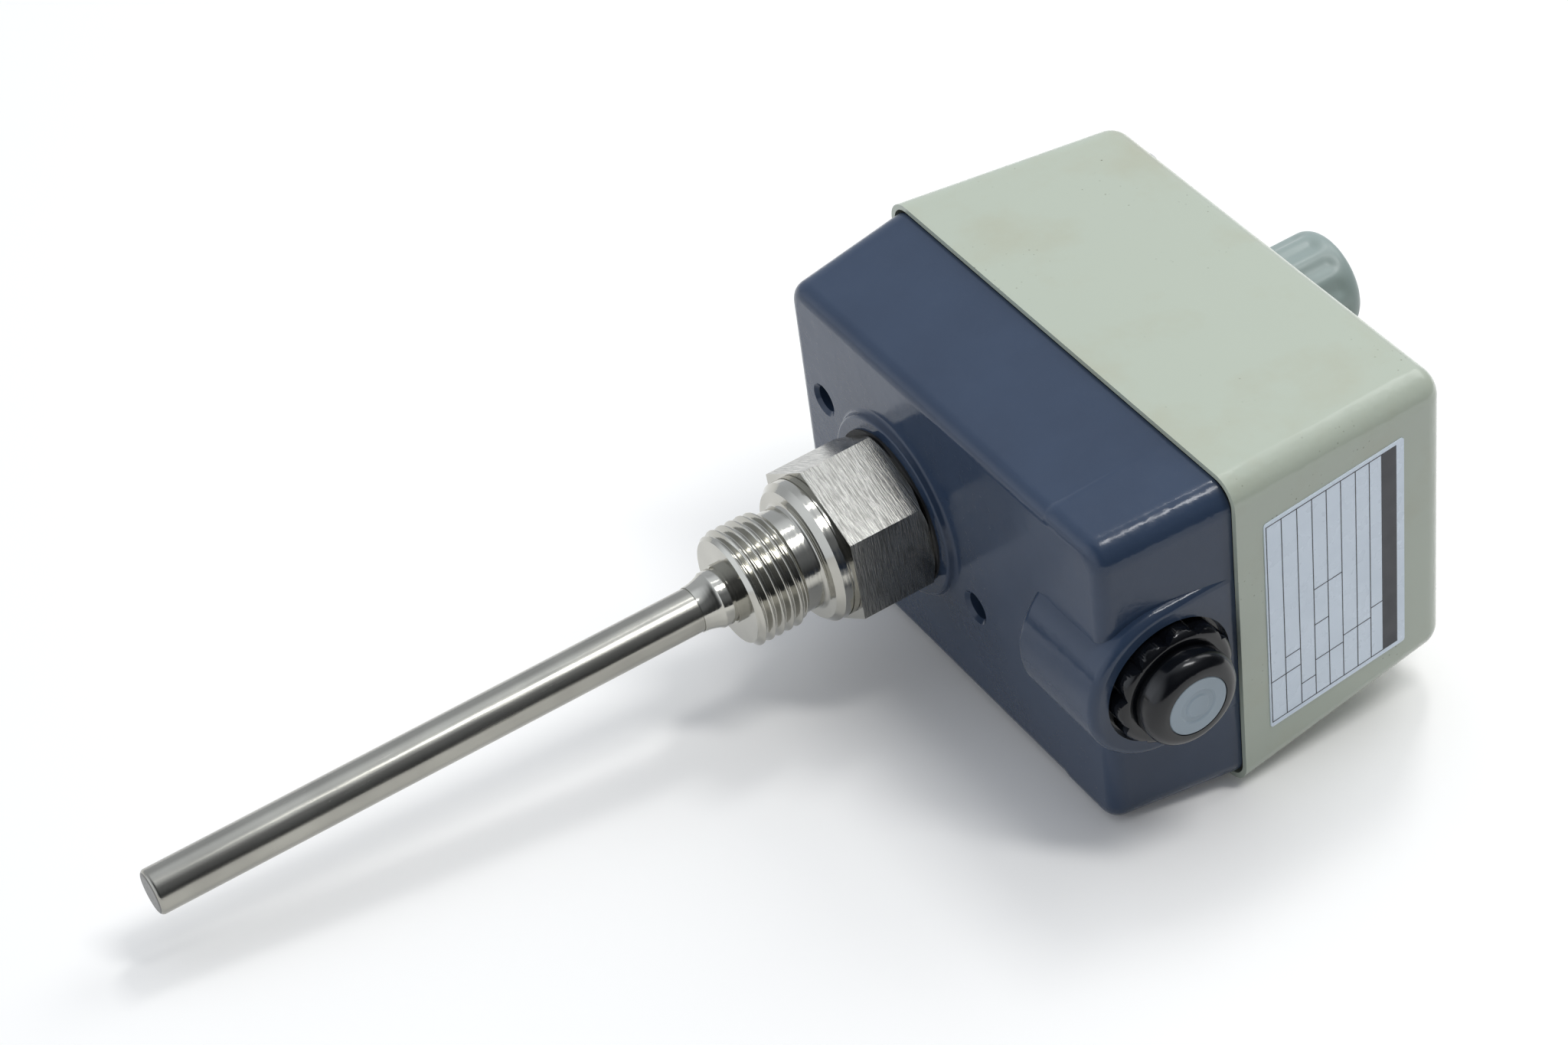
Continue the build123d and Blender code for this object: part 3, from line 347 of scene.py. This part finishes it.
def pipeThread():
    # steep and low shape the flanks: they leave a narrow flat on each crest and in each root
    thread = {"start": -5.0, "end": 5.0, "joint": 7.0, "crest": 10.4775, "root": 9.32, "pitch": 1.814,
              "chamfer": 1.0, "faceRadius": 8.6, "bore": 4.03, "undercut": 9.3, "runout": 0.25,
              "steep": 1.18, "low": 0.09, "slice": 0.11, "steps": 144, "slack": 0.01}
    points = [(thread["start"], thread["bore"]), (thread["start"], thread["faceRadius"])]
    x = thread["start"]
    while x < thread["end"]:
        points.append((x, thread["crest"]))
        x += thread["slice"]
    points += [(thread["end"] + thread["runout"], thread["undercut"]), (thread["joint"], thread["undercut"]),
               (thread["joint"], thread["bore"]), (thread["start"], thread["bore"])]
    build = bmesh.new()
    spinProfile(build, points, thread["steps"])
    depth = thread["crest"] - thread["root"]
    for vertex in build.verts:
        x = vertex.co.x / mm
        radius = math.hypot(vertex.co.y, vertex.co.z) / mm
        if radius < thread["crest"] - thread["slack"]:
            continue
        angle = math.atan2(vertex.co.y, vertex.co.z)
        phase = (x / thread["pitch"] + angle / (2 * math.pi)) % 1.0
        slope = thread["steep"] * (1 - abs(2 * phase - 1)) - thread["low"]
        wanted = thread["root"] + depth * min(max(slope, 0), 1)
        edge = min(x - thread["start"], thread["end"] - x)
        wanted = min(wanted, thread["crest"] - thread["chamfer"] + edge)
        vertex.co.y *= wanted / radius
        vertex.co.z *= wanted / radius
    finishPiece("pipeThread", build, "turnedSteel", "case", sharp=40)


def fittingBody():
    # the thread's length is cut off, and the collar and the hexagon's end faces are turned
    fitting = {"cut": 7.0, "collarEnd": 12.6, "collarRadius": 12.0, "facing": 0.3, "sharp": 25}
    build = copyOfNode("process_fitting")
    geometry = list(build.verts) + list(build.edges) + list(build.faces)
    bmesh.ops.bisect_plane(build, geom=geometry, plane_co=(fitting["cut"] * mm, 0, 0), plane_no=(1, 0, 0),
                           clear_inner=True)
    piece = finishPiece("fittingBody", build, finishOf["process_fitting"], "case", ["process_fitting"],
                        fitting["sharp"])

    def isTurned(face):
        radius = math.hypot(face.center.y, face.center.z)
        onCollar = face.center.x < fitting["collarEnd"] * mm or radius < fitting["collarRadius"] * mm
        return onCollar or abs(face.normal.x) > fitting["facing"]

    secondFinish(piece, "turnedSteel", isTurned)


def probeTube():
    # the tube's closed end has a plain, rougher cut face; its metal is darkened as painted shade and painted
    # dark reflection
    tube = {"end": -112.5, "facing": -0.8}
    piece = smoothNode("immersion_tube", "probeTube")
    secondFinish(piece, "tipShadeSteel",
                 lambda face: face.center.x < tube["end"] * mm and face.normal.x < tube["facing"])


def settingKnob():
    knob = {"start": 99.3, "end": 122.3, "radius": 9.6, "chamfer": 0.3, "rounding": 2.2, "steps": 192,
            "flutes": 12, "depth": 0.52, "fluteEnd": 117.6, "fade": 2.4, "fadeParts": 6, "band": 0.5}
    points = [(knob["start"], 0), (knob["start"], knob["radius"] - knob["chamfer"]),
              (knob["start"] + knob["chamfer"], knob["radius"])]
    for part in range(knob["fadeParts"] + 1):
        points.append((knob["fluteEnd"] + knob["fade"] * part / knob["fadeParts"], knob["radius"]))
    for turn in (math.radians(angle) for angle in range(0, 91, 10)):
        points.append((knob["end"] - knob["rounding"] * (1 - math.sin(turn)),
                       knob["radius"] - knob["rounding"] * (1 - math.cos(turn))))
    points.append((knob["end"], 0))
    build = bmesh.new()
    spinProfile(build, points, knob["steps"])
    for vertex in build.verts:
        radius = math.hypot(vertex.co.y, vertex.co.z) / mm
        if radius > knob["radius"] - knob["band"]:
            angle = math.atan2(vertex.co.z, vertex.co.y)
            past = (vertex.co.x / mm - knob["fluteEnd"]) / knob["fade"]
            fade = 0.5 + 0.5 * math.cos(math.pi * min(max(past, 0), 1))
            groove = knob["depth"] * fade * (0.5 + 0.5 * math.cos(knob["flutes"] * angle))
            vertex.co.y *= (radius - groove) / radius
            vertex.co.z *= (radius - groove) / radius
    finishPiece("settingKnob", build, finishOf["adjusting_knob"], "dial", ["adjusting_knob"], sharp=45)


def settingSpring():
    # the seat squeezes this coil; its copy is baked in place and rides no body
    build = copyOfNode("setpoint_spring")
    piece = finishPiece("settingSpring", build, finishOf["setpoint_spring"], None, ["setpoint_spring"])
    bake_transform(piece)


def labelPrint():
    # a blank form: ruled columns, cell lines and one dark band, with no words
    form = {"x": 59.1, "width": 30.1, "lean": 4.428, "film": 0.2, "ink": 0.03, "line": 0.17,
            "top": 22.3, "bottom": -22.0, "band": (25.1, 28.4),
            "columns": [0.3, 3.5, 6.8, 10.0, 13.1, 16.2, 19.4, 22.4],
            "cells": [(0.3, 6.8, -12.8), (3.5, 6.8, -9.1), (6.8, 10.0, -17.5), (10.0, 13.1, -6.0),
                      (10.0, 16.2, 2.0), (10.0, 16.2, -14.1), (16.2, 22.4, -12.6), (22.4, 25.1, -10.5)]}
    skirt = {"middle": -15, "rim": 53.6, "half": 48.5, "draft": 3.5, "height": 45.2}  # of the cover
    build = bmesh.new()

    def bar(xFrom, xTo, zFrom, zTo):
        made = bmesh.ops.create_cube(build, size=1)["verts"]
        middle = ((xFrom + xTo) / 2, -form["ink"] / 2, (zFrom + zTo) / 2)
        bmesh.ops.scale(build, verts=made, vec=(xTo - xFrom, form["ink"], zTo - zFrom))
        bmesh.ops.translate(build, verts=made, vec=middle)

    bar(*form["band"], form["bottom"], form["top"])
    for column in form["columns"]:
        bar(column, column + form["line"], form["bottom"], form["top"])
    for z in (form["bottom"], form["top"] - form["line"]):
        bar(form["columns"][0], form["band"][0], z, z + form["line"])
    for xFrom, xTo, z in form["cells"]:
        bar(xFrom, xTo, z, z + form["line"])
    half = form["width"] / 2
    middleX = form["x"] + half
    inset = skirt["draft"] * (middleX - skirt["rim"]) / skirt["height"]
    middleY = skirt["middle"] - (skirt["half"] - inset)
    lean = Matrix.Rotation(math.radians(form["lean"]), 4, "Z")
    place = Matrix.Translation((middleX, middleY, 0)) @ lean
    place = place @ Matrix.Translation((-half, -form["film"], 0))
    bmesh.ops.transform(build, matrix=Matrix.Scale(mm, 4) @ place, verts=build.verts)
    finishPiece("labelPrint", build, "labelInk", "case")


def dialScale():
    dial = {"face": 98.8, "inner": 12.6, "outer": 15.2, "thick": 0.06, "wide": 0.45, "marks": 11,
            "from": -150, "to": 150}
    build = bmesh.new()
    for number in range(dial["marks"]):
        turn = dial["from"] + (dial["to"] - dial["from"]) * number / (dial["marks"] - 1)
        made = bmesh.ops.create_cube(build, size=1)["verts"]
        bmesh.ops.scale(build, verts=made, vec=(dial["thick"], dial["wide"], dial["outer"] - dial["inner"]))
        bmesh.ops.translate(build, verts=made, vec=(0, 0, (dial["outer"] + dial["inner"]) / 2))
        place = Matrix.Translation((dial["face"], 0, 0)) @ Matrix.Rotation(math.radians(-turn), 4, "X")
        bmesh.ops.transform(build, matrix=Matrix.Scale(mm, 4) @ place, verts=made)
    finishPiece("dialScale", build, "labelInk", "case")


plainPieces = {
    "neck_sleeve": "neckSleeve", "base_housing": "castBase", "cover": "sheetCover",
    "rating_label": "labelPlate", "gland_nut": "glandNut", "gland_disc": "blankingDisc",
    "fitting_washer": "faceWasher", "cover_screws": "coverScrews",
}
for nodeName, pieceName in plainPieces.items():
    smoothNode(nodeName, pieceName)
probeTube()
fittingBody()
settingKnob()
settingSpring()
pipeThread()
labelPrint()
dialScale()
print("pieces made")

replaced = {*plainPieces, "immersion_tube", "process_fitting", "adjusting_knob", "setpoint_spring"}
for nodeName, node in frame["nodes"].items():
    if nodeName not in replaced:
        node.data.materials.clear()
        node.data.materials.append(finishes[finishOf[nodeName]])
print("hidden nodes finished")


def makeFloor():
    # the cover's rim lies on the floor, which the camera and clear reflections see in a paler colour
    ground = {"rimX": 53.6, "rimZ": -33.93, "tilt": 7.0, "size": 0.5,
              "color": (0.74, 0.74, 0.74), "roughness": 0.7, "specular": 0.2,
              "seenColor": (1.0, 0.985, 0.955, 1), "seenGlow": 0.04}
    build = bmesh.new()
    bmesh.ops.create_grid(build, x_segments=1, y_segments=1, size=ground["size"])
    tilt = Matrix.Rotation(math.radians(ground["tilt"]), 4, "Y")
    place = Matrix.Translation((ground["rimX"] * mm, 0, ground["rimZ"] * mm)) @ tilt
    bmesh.ops.transform(build, matrix=place, verts=build.verts)
    mesh = bpy.data.meshes.new("floor")
    build.to_mesh(mesh)
    build.free()
    floor = bpy.data.objects.new("floor", mesh)
    scene.collection.objects.link(floor)
    material, nodes, links, shader = makeMaterial(
        "floorWhite", ground["color"], ground["roughness"], specular=ground["specular"])
    seen = nodes.new("ShaderNodeBsdfPrincipled")
    seen.inputs["Base Color"].default_value = ground["seenColor"]
    seen.inputs["Specular IOR Level"].default_value = 0
    seen.inputs["Emission Color"].default_value = (1, 1, 1, 1)
    seen.inputs["Emission Strength"].default_value = ground["seenGlow"]
    ray = nodes.new("ShaderNodeLightPath")
    clear = combined(nodes, links, "ADD", ray.outputs["Is Glossy Ray"], ray.outputs["Is Transmission Ray"])
    mix = nodes.new("ShaderNodeMixShader")
    links.new(combined(nodes, links, "ADD", ray.outputs["Is Camera Ray"], clear), mix.inputs[0])
    links.new(shader.outputs[0], mix.inputs[1])
    links.new(seen.outputs[0], mix.inputs[2])
    links.new(mix.outputs[0], nodes["Material Output"].inputs["Surface"])
    mesh.materials.append(material)


def makeWorld():
    # a dim studio with soft pale glows; the camera itself sees plain white
    studio = {"dim": 0.05, "color": (0.94, 0.99, 1.07, 1), "glows": [
        {"toward": (0.10, 0.97, 0.22), "from": -0.15, "full": 0.80, "strength": 0.62},  # behind
        {"toward": (0.33, 0.05, 0.93), "from": 0.70, "full": 0.99, "strength": 0.55},  # overhead
        {"toward": (-0.99, 0.02, 0.04), "from": 0.50, "full": 0.97, "strength": 1.15},  # at the tip
        {"toward": (0.33, -0.50, 0.80), "from": 0.60, "full": 0.98, "strength": 0.16},  # above the gland
    ]}
    world = bpy.data.worlds.new("studio")
    scene.world = world
    world.use_nodes = True
    nodes = world.node_tree.nodes
    links = world.node_tree.links
    coordinates = nodes.new("ShaderNodeTexCoord")
    level = nodes.new("ShaderNodeValue")
    level.outputs[0].default_value = studio["dim"]
    total = level.outputs[0]
    for glow in studio["glows"]:
        facing = nodes.new("ShaderNodeVectorMath")
        facing.operation = "DOT_PRODUCT"
        facing.inputs[1].default_value = Vector(glow["toward"]).normalized()
        links.new(coordinates.outputs["Generated"], facing.inputs[0])
        rise = nodes.new("ShaderNodeMapRange")
        rise.interpolation_type = "SMOOTHSTEP"
        rise.inputs["From Min"].default_value = glow["from"]
        rise.inputs["From Max"].default_value = glow["full"]
        rise.inputs["To Max"].default_value = glow["strength"]
        links.new(facing.outputs["Value"], rise.inputs["Value"])
        total = combined(nodes, links, "ADD", total, rise.outputs["Result"])
    background = nodes["Background"]
    background.inputs["Color"].default_value = studio["color"]
    links.new(total, background.inputs["Strength"])
    white = nodes.new("ShaderNodeBackground")
    white.inputs["Color"].default_value = (1, 1, 1, 1)
    white.inputs["Strength"].default_value = 1.0
    ray = nodes.new("ShaderNodeLightPath")
    mix = nodes.new("ShaderNodeMixShader")
    links.new(ray.outputs["Is Camera Ray"], mix.inputs[0])
    links.new(background.outputs[0], mix.inputs[1])
    links.new(white.outputs[0], mix.inputs[2])
    links.new(mix.outputs[0], nodes["World Output"].inputs["Surface"])


def makeLamps():
    target = (0.03, -0.01, 0)
    lamps = {
        "overheadLamp": {"place": (0.36, -0.29, 0.90), "size": (0.15, 0.44), "power": 2.8},
        "rearLamp": {"place": (0.46, 0.27, 0.88), "size": (0.12, 0.26), "power": 1.6},
        "sideLamp": {"place": (0.82, 0.12, 0.56), "size": (0.50, 0.50), "power": 1.7},
    }
    for name, values in lamps.items():
        lamp = bpy.data.lights.new(name, "AREA")
        lamp.shape = "RECTANGLE"
        lamp.size, lamp.size_y = values["size"]
        lamp.energy = values["power"]
        holder = bpy.data.objects.new(name, lamp)
        scene.collection.objects.link(holder)
        holder.location = values["place"]
        toward = Vector(target) - Vector(values["place"])
        holder.rotation_euler = toward.to_track_quat("-Z", "Y").to_euler()


def makeCamera():
    view = {"place": (-205.754, -424.368, 445.058), "azimuth": -26.66737, "elevation": 42.59103,
            "roll": -8.63805, "lens": 88.997, "sensor": 36, "near": 0.01, "far": 50}
    azimuth = math.radians(view["azimuth"])
    elevation = math.radians(view["elevation"])
    roll = math.radians(view["roll"])
    back = Vector((math.sin(azimuth) * math.cos(elevation), -math.cos(azimuth) * math.cos(elevation),
                   math.sin(elevation)))
    right = Vector((math.cos(azimuth), math.sin(azimuth), 0))
    up = back.cross(right)
    turnedRight = math.cos(roll) * right + math.sin(roll) * up
    turnedUp = -math.sin(roll) * right + math.cos(roll) * up
    lens = bpy.data.cameras.new("photoCamera")
    lens.sensor_width = view["sensor"]
    lens.lens = view["lens"]
    lens.clip_start = view["near"]
    lens.clip_end = view["far"]
    camera = bpy.data.objects.new("photoCamera", lens)
    scene.collection.objects.link(camera)
    turn = Matrix((turnedRight, turnedUp, back)).transposed().to_4x4()
    camera.matrix_world = Matrix.Translation(Vector(view["place"]) * mm) @ turn
    scene.camera = camera


makeFloor()
makeWorld()
makeLamps()
makeCamera()
scene.view_settings.view_transform = "Standard"
print("stage set")
